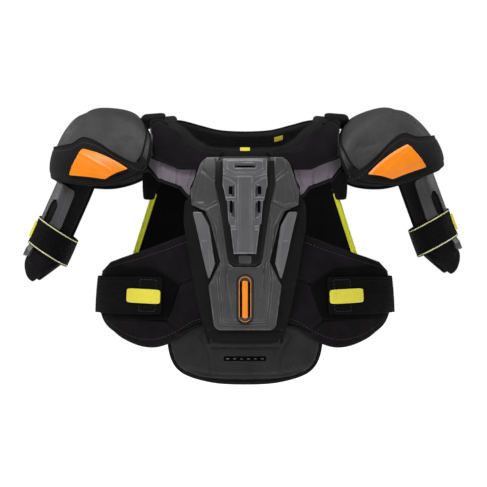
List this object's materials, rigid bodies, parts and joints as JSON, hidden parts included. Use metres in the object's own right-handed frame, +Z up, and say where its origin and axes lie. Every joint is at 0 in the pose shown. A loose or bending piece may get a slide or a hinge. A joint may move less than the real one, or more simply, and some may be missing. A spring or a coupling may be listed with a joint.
{
  "type": "hockey shoulder pads",
  "caption": "Padded upper-body protector for ice hockey with moulded chest shield, hinged shoulder caps, bicep guards, rib wings and waist straps.",
  "frame": {"origin": "midway between the undersides of the two shoulder arches, where the pads rest on the wearer", "axes": "+X to the wearer's left, -Y the way the wearer faces, +Z up"},
  "size_m": [0.7136, 0.3072, 0.4314],
  "materials": {
    "brushed_black": "black brushed polyester over foam",
    "plum_grey": "plum-grey stretch knit over foam",
    "panel_charcoal": "charcoal ribbed synthetic fabric",
    "binding_black": "black folded binding tape",
    "shield_grey": "dark grey moulded foam-backed plastic",
    "plate_grey": "mid grey satin moulded plastic",
    "insert_silver": "silver grey satin moulded plastic",
    "bed_black": "black matt plastic recess",
    "orange_gloss": "glossy orange rubber-like plastic",
    "cap_leather": "dark grey grained synthetic leather",
    "neon_yellow": "fluorescent yellow mesh tape",
    "elastic_black": "black woven elastic webbing",
    "guard_grey": "mid grey flexible moulded plastic"
  },
  "bodies": {
    "front": {"accent_insert": "orange_gloss", "belly_pad": "panel_charcoal", "chest_core_foam": "brushed_black", "chest_liner": "brushed_black", "chest_panel": "panel_charcoal", "chest_shield": "shield_grey", "clavicle_pad_left": "plum_grey", "clavicle_pad_right": "plum_grey", "collar_tag": "neon_yellow", "front_collar": "brushed_black", "loop_patch_left": "elastic_black", "loop_patch_right": "elastic_black", "rib_wing_left": "brushed_black", "rib_wing_right": "brushed_black", "side_insert_left": "insert_silver", "side_insert_right": "insert_silver", "sternum_bed": "bed_black", "sternum_plate": "plate_grey", "yoke_panel_left": "plum_grey", "yoke_panel_right": "plum_grey"},
    "back_and_shoulders": {"armhole_pad_left": "brushed_black", "armhole_pad_right": "brushed_black", "back_collar": "brushed_black", "back_liner": "brushed_black", "back_panel": "panel_charcoal", "back_trim_left": "neon_yellow", "back_trim_right": "neon_yellow", "hang_loop": "neon_yellow", "shoulder_liner_left": "brushed_black", "shoulder_liner_right": "brushed_black", "shoulder_pad_left": "plum_grey", "shoulder_pad_right": "plum_grey", "spine_plate": "shield_grey", "waist_elastic_left": "elastic_black", "waist_elastic_right": "elastic_black"},
    "bicep_left": {"bicep_band_left": "elastic_black", "bicep_guard_left": "guard_grey", "bicep_pad_left": "brushed_black"},
    "bicep_right": {"bicep_band_right": "elastic_black", "bicep_guard_right": "guard_grey", "bicep_pad_right": "brushed_black"},
    "bicep_tab_left": {"bicep_tab_left": "neon_yellow"},
    "bicep_tab_right": {"bicep_tab_right": "neon_yellow"},
    "cap_left": {"cap_accent_left": "orange_gloss", "cap_cover_left": "cap_leather", "cap_liner_left": "brushed_black", "cap_shell_left": "shield_grey", "cap_skirt_left": "binding_black", "cap_tether_left": "elastic_black"},
    "cap_right": {"cap_accent_right": "orange_gloss", "cap_cover_right": "cap_leather", "cap_liner_right": "brushed_black", "cap_shell_right": "shield_grey", "cap_skirt_right": "binding_black", "cap_tether_right": "elastic_black"},
    "waist_strap_left": {"waist_pull_tab_left": "neon_yellow", "waist_strap_left": "elastic_black"},
    "waist_strap_right": {"waist_pull_tab_right": "neon_yellow", "waist_strap_right": "elastic_black"}
  },
  "joints": [
    {"name": "front_open", "type": "hinge", "parent": "back_and_shoulders", "child": "front", "pos_m": [0, -0.024, 0.018], "axis": [-1, 0, 0], "range_deg": [0, 15]},
    {"name": "cap_raise_right", "type": "hinge", "parent": "back_and_shoulders", "child": "cap_right", "pos_m": [-0.15, 0, 0.02], "axis": [0, 1, 0], "range_deg": [0, 40]},
    {"name": "bicep_swing_right", "type": "hinge", "parent": "cap_right", "child": "bicep_right", "pos_m": [-0.296, 0, -0.088], "axis": [0, 1, 0], "range_deg": [0, 45]},
    {"name": "waist_strap_peel_right", "type": "hinge", "parent": "front", "child": "waist_strap_right", "pos_m": [-0.23386, -0.02218, -0.267], "axis": [0, 0, -1], "range_deg": [0, 70]},
    {"name": "bicep_tab_peel_right", "type": "hinge", "parent": "bicep_right", "child": "bicep_tab_right", "pos_m": [-0.33878, 0.0065, -0.16352], "axis": [-0.4067, 0, -0.9135], "range_deg": [0, 80]},
    {"name": "cap_raise_left", "type": "hinge", "parent": "back_and_shoulders", "child": "cap_left", "pos_m": [0.15, 0, 0.02], "axis": [0, -1, 0], "range_deg": [0, 30]},
    {"name": "bicep_swing_left", "type": "hinge", "parent": "cap_left", "child": "bicep_left", "pos_m": [0.296, 0, -0.072], "axis": [0, -1, 0], "range_deg": [0, 45]},
    {"name": "waist_strap_peel_left", "type": "hinge", "parent": "front", "child": "waist_strap_left", "pos_m": [0.23386, -0.02218, -0.267], "axis": [0, 0, 1], "range_deg": [0, 70]},
    {"name": "bicep_tab_peel_left", "type": "hinge", "parent": "bicep_left", "child": "bicep_tab_left", "pos_m": [0.33418, 0.0065, -0.15216], "axis": [-0.342, 0, 0.9397], "range_deg": [0, 80]}
  ]
}
